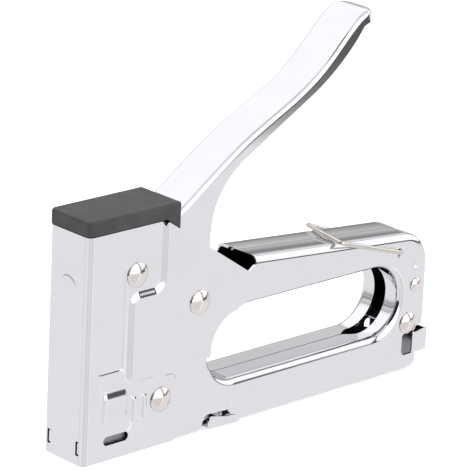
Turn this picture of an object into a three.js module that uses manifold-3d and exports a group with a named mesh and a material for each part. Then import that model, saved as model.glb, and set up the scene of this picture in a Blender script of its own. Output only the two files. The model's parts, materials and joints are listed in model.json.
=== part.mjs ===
// Hand-squeeze staple gun (light-duty tacker), as an assembly of pressed sheet, rivets and springs.
// Millimetres, +Z up. The nose points along -X, the grip runs along +X, Y = 0 is the mid-plane.
// The outlines are drawn with x = 0 at the nose's front face and z = 0 at its bottom edge; the
// last lines move the whole tool so that its origin is the bottom centre of its bounding box.

import * as THREE from 'three';
import { mergeVertices } from 'three/addons/utils/BufferGeometryUtils.js';
import Module from 'manifold-3d';

const wasm = await Module();
wasm.setup();

// ---- driving dimensions -------------------------------------------------------------------

const SHEET = 0.9;            // pressed steel of the housing and the body shells
const GAP = 0.3;              // clearance between neighbouring pieces
const FIT = 0.1;              // clearance between flat sheets that lie on each other

const NOSE_HALF = 9.5;        // half-width over the nose sheet
const NOSE_LENGTH = 38.4;     // front face to the rear edge of the lower nose sheet
const NOSE_HEIGHT = 75.3;
const NOSE_CORNER = 2;        // outer bend radius of the front corners
const RIB_HEIGHT = 0.18;      // stiffening rib pressed out along the nose's front
const PANEL_HALF = NOSE_HALF + SHEET;      // raised panel that laps over the body shells
const BODY_HALF = NOSE_HALF - FIT;         // half-width over the body shells

const LOOP_R = 12.2;          // finger loop: a long hole with round ends
const LOOP_Z = 27.2;
const LOOP_FRONT = 64;        // centre of its front arc
const LOOP_REAR = 126.6;      // centre of its rear arc

const BODY_BOTTOM = 1.3;
const BODY_REAR = 151.2;
const BODY_LOWER_REAR = 148;  // the strip under the latch is shorter
const LATCH_CUT = { x: 141.2, low: 6.2, high: 15.4 };
const GRIP_FRONT = 71.2;      // where the grip's top flange begins
const GRIP_FRONT_Z = 55.15;
const GRIP_FALL = 0.088;      // the grip's top falls this much per mm towards the rear
const GRIP_REAR_R = 12;       // large rear corner

const PIVOT = [46, 45.3];             // handle pivot
const UPPER_HEAD = [20, 59.6];        // rivets, as [x, z]
const LOWER_HEAD = [31.7, 15.6];
const HEAD_HOLE_R = 2.3;
const PIVOT_HOLE_R = 2.8;
const REAR_UPPER = [146.1, 30.3];
const REAR_LOWER = [143.4, 17.1];
const WIRE_PIVOT = [137.3, 43.7];     // holes for the lock wire

const HANDLE_HALF = 8.3;
const HANDLE_SHEET = 1;
const HANDLE_EYE_R = 8.3;
const HANDLE_REAR = 121.2;
const HANDLE_TIP_R = 5.5;             // the tip's corners are rounded in plan
const BUSH_R = 4;
const LEVER_HALF = 2.5;
const LEVER_TIP = [24.35, 32.8];      // 25 mm from the pivot, 30 degrees below it
const LEVER_PIN = [49.5, 60];
const LEVER_PIN_R = 1.8;

const CAP_HALF = 9.7;
const CAP_FRONT = -0.2;
const CAP_REAR = 37.5;
const CAP_TOP = 80.2;
const CAP_REAR_Z = 71.9;              // lower rear corner, above the slanted edge of the panel
const CAP_WALL = 1.2;
const CAP_PLUG_REAR = 30.4;
const CAP_PLUG_BOTTOM = 70.5;

const BLADE_X = [1.6, 2.4];             // its front and back faces
const HAMMER_FRONT = 2.7;
const HAMMER_REAR = 16.8;
const HAMMER_BOTTOM = 34;
const HAMMER_TOP = 42;
const SPRING_X = 9.8;                 // axis of the main spring
const SPRING_TOP = 72.2;
const SHELF_Z = 26.5;                 // shelf of the driver guide, under the bumper

const MAGAZINE_FRONT = 4.2;
const MAGAZINE_REAR = 143;
const MAGAZINE_TOP = 12;
const MAGAZINE_HALF = 7.1;
const MAGAZINE_SHEET = 0.8;
const TAB_X = [50.6, 60.7];           // tab in the shells' notch
const TAB_OUTER = 10.7;
const RAIL_HALF = 4.9;
const RAIL_TOP = 9.4;
const ROD_Z = 5.3;
const PUSHER_FRONT = 3.1;
const PUSHER_LENGTH = 10;
const LATCH_REAR = 152.8;
const LATCH_HALF = 10.6;
const EAR_FRONT = 145.2;
const EAR_Z = [5.6, 14.1];

const WIRE_R = 0.75;
const WIRE_HALF = 10.9;
const WIRE_NEAR = [107.6, 53];        // bends of its cross bar, over the grip, left and right
const WIRE_FAR = [113, 52.4];

const ARC_STEP = Math.PI / 12;
const TURN = 2 * Math.PI;

// ---- materials ----------------------------------------------------------------------------

function finish(color, roughness, metalness) {
  return new THREE.MeshStandardMaterial({ color, roughness, metalness });
}

const chrome = finish(0xe6e6ea, 0.08, 1);
const rivetSteel = finish(0xe2dcdc, 0.16, 1);
const zincSteel = finish(0xa6a8ad, 0.35, 1);
const toolSteel = finish(0x6f7176, 0.4, 1);
const springSteel = finish(0x8d8f93, 0.3, 1);
const wireNickel = finish(0xcfc9c4, 0.2, 1);
const capPlastic = finish(0x454447, 0.5, 0);
const bumperRubber = finish(0x232325, 0.9, 0);

// ---- solids -------------------------------------------------------------------------------

// Closed triangle mesh with shared vertices and faces pointing out, as a manifold solid.
function toSolid(geometry) {
  const bare = new THREE.BufferGeometry();
  bare.setAttribute('position', geometry.getAttribute('position'));
  bare.setIndex(geometry.getIndex());
  const merged = mergeVertices(bare, 1e-4);
  const vertProperties = Float32Array.from(merged.getAttribute('position').array);
  const index = merged.getIndex().array;
  const corner = (n) => new THREE.Vector3().fromArray(vertProperties, 3 * n);
  const faces = [];
  let volume = 0;
  for (let i = 0; i < index.length; i += 3) {
    const [a, b, c] = [index[i], index[i + 1], index[i + 2]];
    if (a === b || b === c || c === a) continue;
    faces.push([a, b, c]);
    volume += corner(a).dot(corner(b).cross(corner(c)));
  }
  const outward = volume > 0 ? faces : faces.map(([a, b, c]) => [a, c, b]);
  const triVerts = Uint32Array.from(outward.flat());
  return new wasm.Manifold(new wasm.Mesh({ numProp: 3, vertProperties, triVerts }));
}

function toGeometry(solid) {
  const { vertProperties, triVerts } = solid.getMesh();
  const geometry = new THREE.BufferGeometry();
  geometry.setAttribute('position', new THREE.BufferAttribute(vertProperties, 3));
  geometry.setIndex(new THREE.BufferAttribute(triVerts, 1));
  return geometry;
}

const join = (first, ...rest) => rest.reduce((sum, one) => sum.add(one), first);
const cut = (first, ...rest) => rest.reduce((sum, one) => sum.subtract(one), first);

function extruded(shape, depth) {
  return new THREE.ExtrudeGeometry(shape, { depth, bevelEnabled: false, curveSegments: 12 });
}

// Shape drawn in (x, z), given thickness from y0 to y1.
function plateY(shape, y0, y1) {
  const geometry = extruded(shape, y1 - y0);
  geometry.rotateX(Math.PI / 2);
  geometry.translate(0, y1, 0);
  return toSolid(geometry);
}

// Shape drawn in (x, y), given height from z0 to z1.
function plateZ(shape, z0, z1) {
  const geometry = extruded(shape, z1 - z0);
  geometry.translate(0, 0, z0);
  return toSolid(geometry);
}

function block(x, y, z) {
  const geometry = new THREE.BoxGeometry(x[1] - x[0], y[1] - y[0], z[1] - z[0]);
  geometry.translate((x[0] + x[1]) / 2, (y[0] + y[1]) / 2, (z[0] + z[1]) / 2);
  return toSolid(geometry);
}

// Bar with its axis along Y at [x, z].
function barY([x, z], radius, y0, y1, sides = 24) {
  const geometry = new THREE.CylinderGeometry(radius, radius, y1 - y0, sides);
  geometry.translate(x, (y0 + y1) / 2, z);
  return toSolid(geometry);
}

// Bar with its axis along X, on the magazine's centre line.
function barX(radius, x0, x1) {
  const geometry = new THREE.CylinderGeometry(radius, radius, x1 - x0, 16);
  geometry.rotateZ(Math.PI / 2);
  geometry.translate((x0 + x1) / 2, 0, ROD_Z);
  return toSolid(geometry);
}

function tubeY(at, inner, outer, half) {
  return cut(barY(at, outer, -half, half), barY(at, inner, -half - 1, half + 1));
}

const acrossY = (shape, half) => plateY(shape, -half, half);
const mirrored = (solid) => toSolid(toGeometry(solid).scale(1, -1, 1));
const bothSides = (solid) => solid.add(mirrored(solid));

// Closed outline from corners [x, y, radius], each corner rounded to its radius.
function outline(corners) {
  const points = [];
  corners.forEach(([x, y, radius = 0], i) => {
    const here = new THREE.Vector2(x, y);
    if (radius === 0) {
      points.push(here);
      return;
    }
    const [before, after] = [corners.at(i - 1), corners[(i + 1) % corners.length]];
    const toBefore = new THREE.Vector2(before[0], before[1]).sub(here).normalize();
    const toAfter = new THREE.Vector2(after[0], after[1]).sub(here).normalize();
    const half = Math.acos(THREE.MathUtils.clamp(toBefore.dot(toAfter), -1, 1)) / 2;
    const middle = toBefore.clone().add(toAfter).normalize();
    const centre = here.clone().addScaledVector(middle, radius / Math.sin(half));
    const start = here.clone().addScaledVector(toBefore, radius / Math.tan(half)).sub(centre);
    const end = here.clone().addScaledVector(toAfter, radius / Math.tan(half)).sub(centre);
    const swing = Math.atan2(start.cross(end), start.dot(end));
    const steps = Math.max(2, Math.ceil(Math.abs(swing) / ARC_STEP));
    for (let k = 0; k <= steps; k += 1) {
      points.push(start.clone().rotateAround(new THREE.Vector2(), (swing * k) / steps).add(centre));
    }
  });
  return new THREE.Shape(points);
}

// Long hole with round ends, from x0 to x1 between the arcs' centres.
function longHole(x0, x1, z, radius) {
  const shape = new THREE.Shape();
  shape.absarc(x0, z, radius, Math.PI / 2, 1.5 * Math.PI);
  shape.absarc(x1, z, radius, -Math.PI / 2, Math.PI / 2);
  return shape;
}

// Wire along a curve.
function wire(curve, radius, steps, sides) {
  const ring = new THREE.Shape();
  for (let k = 0; k < sides; k += 1) {
    const [x, y] = [radius * Math.cos((TURN * k) / sides), radius * Math.sin((TURN * k) / sides)];
    if (k === 0) ring.moveTo(x, y);
    else ring.lineTo(x, y);
  }
  return toSolid(new THREE.ExtrudeGeometry(ring, { steps, extrudePath: curve }));
}

// Wire route through corners, each rounded by the given reach.
function bentRoute(points, reach) {
  const route = new THREE.CurvePath();
  let from = points[0];
  for (let i = 1; i < points.length - 1; i += 1) {
    const [before, here, after] = [points[i - 1], points[i], points[i + 1]];
    const start = here.clone().addScaledVector(before.clone().sub(here).normalize(), reach);
    const end = here.clone().addScaledVector(after.clone().sub(here).normalize(), reach);
    route.add(new THREE.LineCurve3(from, start));
    route.add(new THREE.QuadraticBezierCurve3(start, here, end));
    from = end;
  }
  route.add(new THREE.LineCurve3(from, points.at(-1)));
  return route;
}

// Helix about an axis through `centre`; `place` maps (across, across, along) to (x, y, z).
class Helix extends THREE.Curve {
  constructor(radius, length, turns, place) {
    super();
    Object.assign(this, { radius, length, turns, place });
  }

  getPoint(t, target = new THREE.Vector3()) {
    const angle = TURN * this.turns * t;
    const [a, b] = [this.radius * Math.cos(angle), this.radius * Math.sin(angle)];
    return target.set(...this.place(a, b, this.length * t));
  }
}

// Solid rivet: shank through the stack, a domed head on each side.
function rivet(at, shankR, headR, seat, dome) {
  const profile = [];
  const steps = 4;
  const domeR = (headR ** 2 + dome ** 2) / (2 * dome);
  const open = Math.asin(headR / domeR);
  for (let k = 0; k <= steps; k += 1) {
    const angle = (open * k) / steps;
    const y = seat + dome - domeR + domeR * Math.cos(angle);
    profile.push(new THREE.Vector2(domeR * Math.sin(angle), -y));
  }
  profile.push(new THREE.Vector2(shankR, -seat));
  const whole = profile.concat(profile.map((p) => new THREE.Vector2(p.x, -p.y)).reverse());
  const geometry = new THREE.LatheGeometry(whole, 20);
  geometry.translate(at[0], 0, at[1]);
  return toSolid(geometry);
}

// ---- the finished pieces ------------------------------------------------------------------

const gun = new THREE.Group();

function addPiece(name, material, solid) {
  const geometry = toGeometry(solid);
  geometry.computeVertexNormals();
  const mesh = new THREE.Mesh(geometry, material);
  mesh.name = name;
  gun.add(mesh);
}

// Height of the slanted top edge of the raised panel, and of the grip's top.
const SLANT_FRONT = [31, 75.2];
const SLANT_REAR = [66.9, 51.4];
const SLANT = (SLANT_REAR[1] - SLANT_FRONT[1]) / (SLANT_REAR[0] - SLANT_FRONT[0]);
const slantZ = (x) => SLANT_FRONT[1] + SLANT * (x - SLANT_FRONT[0]);
const gripTopZ = (x) => GRIP_FRONT_Z - GRIP_FALL * (x - GRIP_FRONT);

// Front housing: one sheet wrapped round the nose, its sides pressed out to lap over the body.
function frontHousing() {
  const panel = outline([
    [...SLANT_FRONT],
    [31, 52.8, 3],
    [17.7, 52.8, 3],
    [17.7, 24.5, 3],
    [51.6, 24.5, 0.6],
    [52.4, LOOP_Z],
    [66.8, 41.2, 1],
    [66.8, 51.4, 1.2],
  ]);
  const loop = longHole(LOOP_FRONT, LOOP_REAR, LOOP_Z, LOOP_R - FIT);
  const pressed = outline([
    [31.9, 80],
    [31.9, 51.9, 3],
    [18.6, 51.9, 2.4],
    [18.6, 25.4, 2.4],
    [NOSE_LENGTH, 25.4],
    [NOSE_LENGTH, 20],
    [70, 20],
    [70, 80],
  ]);
  const wrap = outline([
    [0, -NOSE_HALF, NOSE_CORNER],
    [NOSE_LENGTH, -NOSE_HALF],
    [NOSE_LENGTH, NOSE_HALF],
    [0, NOSE_HALF, NOSE_CORNER],
  ]);
  const inside = NOSE_HALF - SHEET;
  const cavity = outline([
    [SHEET, -inside, NOSE_CORNER - SHEET],
    [90, -inside],
    [90, inside],
    [SHEET, inside, NOSE_CORNER - SHEET],
  ]);
  const tube = cut(plateZ(wrap, 0, NOSE_HEIGHT), plateZ(cavity, -1, 90), acrossY(pressed, 20));
  const bossDepth = 0.5;
  const boss = block([7.9, 18], [inside + bossDepth, NOSE_HALF + bossDepth], [12.3, 22.5]);
  const bossBack = block([8.8, 17.1], [inside - 1, inside + bossDepth], [13.2, 21.6]);
  const side = cut(
    plateY(panel, inside, PANEL_HALF),
    plateY(pressed, inside - 1, NOSE_HALF),
    plateY(loop, 0, 20),
  );
  const holes = [
    barY(UPPER_HEAD, HEAD_HOLE_R, -20, 20),
    barY(PIVOT, PIVOT_HOLE_R, -20, 20),
    barY(LOWER_HEAD, HEAD_HOLE_R, -20, 20),
    acrossY(longHole(9.9, 17.1, 6.6, 1.5), 20),
  ];
  const rib = (half, low, high, x0, x1) => {
    const geometry = extruded(longHole(low + half, high - half, 0, half), x1 - x0);
    geometry.rotateY(-Math.PI / 2);
    geometry.translate(x1, 0, 0);
    return toSolid(geometry);
  };
  const sideWindow = block([-1, 3], [6, 7.7], [3.2, 8]);
  return cut(
    join(tube, bothSides(side), bothSides(boss), rib(4.4, 20.6, 61, -RIB_HEIGHT, SHEET / 2)),
    bothSides(bossBack),
    rib(3.7, 21.3, 60.3, SHEET - RIB_HEIGHT, SHEET + 1),
    ...holes,
    bothSides(sideWindow),
  );
}

// One body shell: a pressed tray with its flanges turned in towards the mid-plane.
function bodyShell() {
  const side = outline([
    [38.8, BODY_BOTTOM],
    [TAB_X[0] - 0.5, BODY_BOTTOM],
    [TAB_X[0] - 0.5, 5.4, 0.6],
    [TAB_X[1] + 0.5, 5.4, 0.6],
    [TAB_X[1] + 0.5, BODY_BOTTOM],
    [BODY_LOWER_REAR, BODY_BOTTOM, 2],
    [BODY_LOWER_REAR, LATCH_CUT.low],
    [LATCH_CUT.x, LATCH_CUT.low, 1.5],
    [LATCH_CUT.x, LATCH_CUT.high, 1],
    [BODY_REAR, LATCH_CUT.high],
    [BODY_REAR, gripTopZ(BODY_REAR), GRIP_REAR_R],
    [GRIP_FRONT, GRIP_FRONT_Z],
    [GRIP_FRONT - 0.6, slantZ(66) - 1],
    [66, slantZ(66) - 1.2],
    [38, slantZ(38) - 1.2],
    [33, slantZ(38) - 1.2],
    [33, 25.7],
    [38.8, 25.7],
  ]);
  const hollow = outline([
    [20, -5],
    [BODY_REAR - SHEET, -5],
    [BODY_REAR - SHEET, gripTopZ(BODY_REAR) - SHEET, GRIP_REAR_R - SHEET],
    [60, gripTopZ(60) - SHEET],
    [60, 90],
    [20, 90],
  ]);
  const loop = (radius) => plateY(longHole(LOOP_FRONT, LOOP_REAR, LOOP_Z, radius), -20, 20);
  const inside = BODY_HALF - SHEET;
  const tray = cut(
    plateY(side, FIT, BODY_HALF),
    cut(plateY(hollow, -1, inside), loop(LOOP_R + SHEET)),
    loop(LOOP_R),
  );
  const tongue = block([27, 39.7], [inside - SHEET, inside], [2, 23.4]);
  const step = block([38.8, 39.7], [inside - SHEET, BODY_HALF], [2, 23.4]);
  return cut(
    join(tray, tongue, step),
    barY(PIVOT, PIVOT_HOLE_R, -1, 20),
    barY(LOWER_HEAD, HEAD_HOLE_R, -1, 20),
    barY(REAR_UPPER, 1.5, -1, 20),
    barY(REAR_LOWER, 2.2, -1, 20),
    barY(WIRE_PIVOT, WIRE_R + GAP, -1, 20),
  );
}

// Cap: moulded plug that sits on the nose and fills its top, open at the rear for the handle.
function topCap() {
  const skirtFront = SLANT_FRONT[0] + SHEET + GAP;
  const side = outline([
    [CAP_FRONT, NOSE_HEIGHT + FIT],
    [skirtFront, NOSE_HEIGHT + FIT],
    [skirtFront, slantZ(skirtFront) + GAP],
    [CAP_REAR, CAP_REAR_Z],
    [CAP_REAR, CAP_TOP, 1],
    [CAP_FRONT, CAP_TOP, 1],
  ]);
  const plan = outline([
    [CAP_FRONT, -CAP_HALF, NOSE_CORNER],
    [CAP_REAR, -CAP_HALF, 1],
    [CAP_REAR, CAP_HALF, 1],
    [CAP_FRONT, CAP_HALF, NOSE_CORNER],
  ]);
  const plugHalf = NOSE_HALF - SHEET - GAP;
  const plugPlan = outline([
    [SHEET + GAP, -plugHalf, 1],
    [CAP_PLUG_REAR, -plugHalf],
    [CAP_PLUG_REAR, plugHalf],
    [SHEET + GAP, plugHalf, 1],
  ]);
  const plug = plateZ(plugPlan, CAP_PLUG_BOTTOM, NOSE_HEIGHT + 1);
  const hollow = plugHalf - CAP_WALL;
  const doorway = NOSE_HALF - SHEET;
  const ceiling = CAP_TOP - CAP_WALL;
  return cut(
    plateZ(plan, 60, 90).intersect(acrossY(side, 20)).add(plug),
    block([SHEET + GAP + CAP_WALL, CAP_PLUG_REAR - CAP_WALL], [-hollow, hollow], [60, ceiling]),
    block([CAP_PLUG_REAR, CAP_REAR + 1], [-doorway, doorway], [60, ceiling]),
  );
}

// Handle: shallow pressed channel that curves up and back, with two side plates down to the pivot.
const handleBack = new THREE.SplineCurve([
  new THREE.Vector2(34.4, 62),
  new THREE.Vector2(34.2, 70),
  new THREE.Vector2(36, 74.8),
  new THREE.Vector2(40.4, 77.8),
  new THREE.Vector2(52, 86),
  new THREE.Vector2(64.8, 94.4),
  new THREE.Vector2(77, 100.8),
  new THREE.Vector2(87.3, 106.1),
  new THREE.Vector2(97.2, 112.8),
  new THREE.Vector2(109.1, 124.2),
  new THREE.Vector2(113.4, 127.9),
  new THREE.Vector2(117.4, 129.8),
  new THREE.Vector2(120.3, 129.1),
  new THREE.Vector2(HANDLE_REAR, 125.4),
]);

// The handle's back line moved inwards, away from the outer surface.
function handleLine(inset) {
  const steps = 32;
  return handleBack.getSpacedPoints(steps).map((point, i) => {
    const along = handleBack.getTangentAt(i / steps);
    return new THREE.Vector2(point.x + inset * along.y, point.y - inset * along.x);
  });
}

function handlePiece() {
  const edge = [
    [117.2, 125.4],
    [112.5, 120.6],
    [104.8, 113],
    [97, 107.1],
    [89.2, 102.5],
    [72.4, 92.9],
    [61.5, 86.4],
    [55.4, 79.8],
    [52.2, 72.5],
    [51.4, 65],
    [54, 47],
    [37.8, 44],
  ].map(([x, z]) => new THREE.Vector2(x, z));
  const outer = new THREE.Shape(handleLine(0).concat(edge));
  const inner = new THREE.Shape([
    ...handleLine(HANDLE_SHEET),
    new THREE.Vector2(HANDLE_REAR - HANDLE_SHEET, 100),
    new THREE.Vector2(80, 20),
    new THREE.Vector2(20, 20),
    new THREE.Vector2(20, 62),
  ]);
  const plan = (inset) => plateZ(outline([
    [0, inset - HANDLE_HALF],
    [HANDLE_REAR + FIT - inset, inset - HANDLE_HALF, HANDLE_TIP_R - inset],
    [HANDLE_REAR + FIT - inset, HANDLE_HALF - inset, HANDLE_TIP_R - inset],
    [0, HANDLE_HALF - inset],
  ]), 0, 200);
  const inside = HANDLE_HALF - HANDLE_SHEET;
  const eye = barY(PIVOT, HANDLE_EYE_R, -HANDLE_HALF, HANDLE_HALF);
  return cut(
    acrossY(outer, HANDLE_HALF).intersect(plan(0)).add(eye),
    acrossY(inner, inside).intersect(plan(HANDLE_SHEET)),
    barY(PIVOT, BUSH_R + GAP, -20, 20),
    barY(LEVER_PIN, LEVER_PIN_R + GAP, -20, 20),
  );
}

// Outline of a straight bar with round ends, from a to b.
function stadiumBar(a, b, radius) {
  const along = new THREE.Vector2(b[0] - a[0], b[1] - a[1]).angle();
  const shape = new THREE.Shape();
  shape.absarc(a[0], a[1], radius, along + Math.PI / 2, along + 1.5 * Math.PI);
  shape.absarc(b[0], b[1], radius, along - Math.PI / 2, along + Math.PI / 2);
  return shape;
}

function liftingLever() {
  return cut(
    join(
      barY(PIVOT, 7, -LEVER_HALF, LEVER_HALF),
      acrossY(stadiumBar(PIVOT, LEVER_TIP, 2.5), LEVER_HALF),
      acrossY(stadiumBar(PIVOT, LEVER_PIN, 4), LEVER_HALF),
    ),
    barY(PIVOT, BUSH_R + GAP, -20, 20),
    barY(LEVER_PIN, LEVER_PIN_R + GAP, -20, 20),
  );
}

// Torsion spring round the bush: one leg hangs down, the other rests on the handle's front wall.
function returnSpring() {
  const coil = new Helix(5.2, 3.5, 3.25, (a, b, along) => [PIVOT[0] + a, 3.3 + along, PIVOT[1] + b]);
  const [start, end] = [coil.getPoint(0), coil.getPoint(1)];
  const route = new THREE.CurvePath();
  route.add(new THREE.LineCurve3(start.clone().add(new THREE.Vector3(0, 0, -7)), start));
  route.add(coil);
  route.add(new THREE.LineCurve3(end, end.clone().add(new THREE.Vector3(-7, 0, 0))));
  return wire(route, 0.45, 64, 5);
}

// Driver guide: plate behind the blade, a shelf for the bumper and two cheeks beside the magazine.
function driverGuide() {
  const half = NOSE_HALF - SHEET - GAP;
  return join(
    block([2.7, 3.7], [-half, half], [11.2, SHELF_Z + 1]),
    block([2.7, 15.8], [-half, half], [SHELF_Z, SHELF_Z + 1]),
    bothSides(block([2.7, 23], [half - SHEET, half], [0.3, SHELF_Z + 1])),
  );
}

// Hammer: the weight that carries the blade, with a lug over the lever's tip.
function hammer() {
  const side = outline([
    [HAMMER_FRONT, HAMMER_BOTTOM],
    [HAMMER_REAR, HAMMER_BOTTOM],
    [HAMMER_REAR, 35.9],
    [24, 35.9],
    [24, 39.2, 1],
    [HAMMER_REAR, 39.2, 1],
    [HAMMER_REAR, HAMMER_TOP],
    [HAMMER_FRONT, HAMMER_TOP],
  ]);
  return acrossY(side, 7.5).intersect(join(
    block([0, HAMMER_REAR], [-7.5, 7.5], [30, 50]),
    block([HAMMER_REAR - 3, 30], [-4, 4], [30, 50]),
  ));
}

// Driver blade: flat spring-steel strip with a T-shaped top.
function driverBlade() {
  return join(
    block(BLADE_X, [-5.7, 5.7], [0.6, 38]),
    block(BLADE_X, [-3, 3], [37, 41.5]),
  );
}

function mainSpring() {
  const wireR = 0.9;
  const low = HAMMER_TOP + GAP + wireR;
  const place = (a, b, along) => [SPRING_X + a, b, low + along];
  const helix = new Helix(5.2, SPRING_TOP - wireR - low, 7.5, place);
  return wire(helix, wireR, 84, 6);
}

// Magazine channel: inverted U inside the lower bar, with a tab bent out through each shell's notch.
function magazineChannel() {
  const inside = MAGAZINE_HALF - MAGAZINE_SHEET;
  const lip = outline([
    [TAB_X[0], 0.5],
    [66, 0.5, 0.6],
    [66, 2.4, 0.6],
    [TAB_X[0], 4.8, 1],
  ]);
  const tab = join(
    block(TAB_X, [inside, TAB_OUTER], [1, 1.9]),
    plateY(lip, TAB_OUTER - MAGAZINE_SHEET, TAB_OUTER),
  );
  return join(
    cut(
      block([MAGAZINE_FRONT, MAGAZINE_REAR], [-MAGAZINE_HALF, MAGAZINE_HALF], [1, MAGAZINE_TOP]),
      block([0, 160], [-inside, inside], [-1, MAGAZINE_TOP - MAGAZINE_SHEET]),
    ),
    bothSides(tab),
  );
}

// Staple rail: inverted U that the staples ride on, slotted along its top for the pusher's tongue.
function stapleRail() {
  const inside = RAIL_HALF - MAGAZINE_SHEET;
  return cut(
    block([3, MAGAZINE_REAR + 0.2], [-RAIL_HALF, RAIL_HALF], [1.6, RAIL_TOP]),
    block([0, 160], [-inside, inside], [0, RAIL_TOP - MAGAZINE_SHEET]),
    block([8, 116], [-1.3, 1.3], [5, 12]),
  );
}

function pusher() {
  const rear = PUSHER_FRONT + PUSHER_LENGTH;
  const half = 5.9;
  return cut(
    join(
      cut(
        block([PUSHER_FRONT, rear], [-half, half], [2.2, 10.8]),
        block([0, 20], [-RAIL_HALF - GAP, RAIL_HALF + GAP], [0, RAIL_TOP + GAP]),
      ),
      block([rear - 2.5, rear], [-1, 1], [7, 10]),
      block([rear - 2.5, rear], [-3.6, 3.6], [2.2, 8.2]),
    ),
    barX(1.3, 0, 30),
  );
}

function pusherSpring() {
  const start = PUSHER_FRONT + PUSHER_LENGTH + 0.8;
  const helix = new Helix(2.2, 139 - start, 16, (a, b, along) => [start + along, a, ROD_Z + b]);
  return wire(helix, 0.35, 144, 5);
}

// Loader latch: block that closes the magazine, with an ear on each side of the body.
function loaderLatch() {
  const ear = outline([
    [EAR_FRONT, EAR_Z[0], 2],
    [LATCH_REAR, EAR_Z[0], 1],
    [LATCH_REAR, EAR_Z[1], 1],
    [EAR_FRONT, EAR_Z[1], 2],
  ]);
  const yoke = cut(acrossY(ear, LATCH_HALF), block([140, LATCH_REAR - SHEET], [-9.75, 9.75], [0, 20]));
  return join(yoke, block([MAGAZINE_REAR + 0.5, LATCH_REAR - 0.2], [-5.6, 5.6], [2, 11]));
}

function lockWire() {
  const [px, pz] = WIRE_PIVOT;
  const corners = [
    [px, -7.2, pz],
    [px, -WIRE_HALF, pz],
    [WIRE_NEAR[0], -WIRE_HALF, WIRE_NEAR[1]],
    [WIRE_FAR[0], WIRE_HALF, WIRE_FAR[1]],
    [px, WIRE_HALF, pz],
    [px, 7.2, pz],
  ].map((p) => new THREE.Vector3(...p));
  return wire(bentRoute(corners, 1.6), WIRE_R, 48, 8);
}

// ---- assembly -----------------------------------------------------------------------------

addPiece('front_housing', chrome, frontHousing());
addPiece('left_body_shell', chrome, mirrored(bodyShell()));
addPiece('right_body_shell', chrome, bodyShell());
addPiece('top_cap', capPlastic, topCap());

const shellInside = BODY_HALF - SHEET - GAP;
const tongueInside = shellInside - SHEET;
addPiece('pivot_rivet', rivetSteel, rivet(PIVOT, 2.5, 4.15, PANEL_HALF + FIT, 1.6));
addPiece('pivot_bush', zincSteel, tubeY(PIVOT, PIVOT_HOLE_R, BUSH_R, shellInside));
addPiece('upper_head_rivet', rivetSteel, rivet(UPPER_HEAD, 2, 4.15, NOSE_HALF + FIT, 1.6));
addPiece('upper_head_spacer', zincSteel, tubeY(UPPER_HEAD, HEAD_HOLE_R, 2.9, NOSE_HALF - SHEET - GAP));
addPiece('lower_head_rivet', rivetSteel, rivet(LOWER_HEAD, 2, 4.15, NOSE_HALF + FIT, 1.6));
addPiece('lower_head_spacer', zincSteel, tubeY(LOWER_HEAD, HEAD_HOLE_R, 3.2, tongueInside));
addPiece('rear_upper_rivet', rivetSteel, rivet(REAR_UPPER, 1.2, 2.5, BODY_HALF + FIT, 1.1));
addPiece('rear_upper_spacer', zincSteel, tubeY(REAR_UPPER, 1.5, 2.3, shellInside));
addPiece('rear_lower_rivet', rivetSteel, rivet(REAR_LOWER, 1.9, 3.75, BODY_HALF + FIT, 1.5));
addPiece('rear_lower_spacer', zincSteel, tubeY(REAR_LOWER, 2.2, 3, shellInside));

addPiece('handle', chrome, handlePiece());
addPiece('lifting_lever', toolSteel, liftingLever());
addPiece('lever_pin', zincSteel, barY(LEVER_PIN, LEVER_PIN_R, -HANDLE_HALF, HANDLE_HALF));
addPiece('handle_return_spring', springSteel, returnSpring());

addPiece('driver_guide', toolSteel, driverGuide());
addPiece('driver_blade', toolSteel, driverBlade());
addPiece('hammer', toolSteel, hammer());
addPiece('main_spring', springSteel, mainSpring());
addPiece('spring_seat', zincSteel, block([2.9, 17], [-6.8, 6.8], [SPRING_TOP + GAP, SPRING_TOP + 1.5]));
addPiece('bumper', bumperRubber, block([4.2, 15.6], [-7, 7], [SHELF_Z + 1.3, HAMMER_BOTTOM - GAP]));

addPiece('magazine_channel', zincSteel, magazineChannel());
addPiece('staple_rail', zincSteel, stapleRail());
addPiece('pusher', zincSteel, pusher());
addPiece('pusher_guide_rod', toolSteel, barX(1, 6, MAGAZINE_REAR + 0.2));
addPiece('pusher_spring', springSteel, pusherSpring());
addPiece('loader_latch', chrome, loaderLatch());
addPiece('lock_wire', wireNickel, lockWire());

gun.position.x = -(CAP_FRONT + LATCH_REAR) / 2;

export default gun;
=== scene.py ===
"""Hand-squeeze staple gun: the looks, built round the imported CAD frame.

Shapes are drawn in millimetres in the tool's own drawing frame (x = 0 at the nose's front face,
y = 0 on the mid-plane, z = 0 at the nose's bottom edge) and placed by `at`, which reads the frame.
"""

import json
import math

import bmesh
import bpy
from mathutils import Matrix, Vector
from mathutils.geometry import delaunay_2d_cdt


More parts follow.
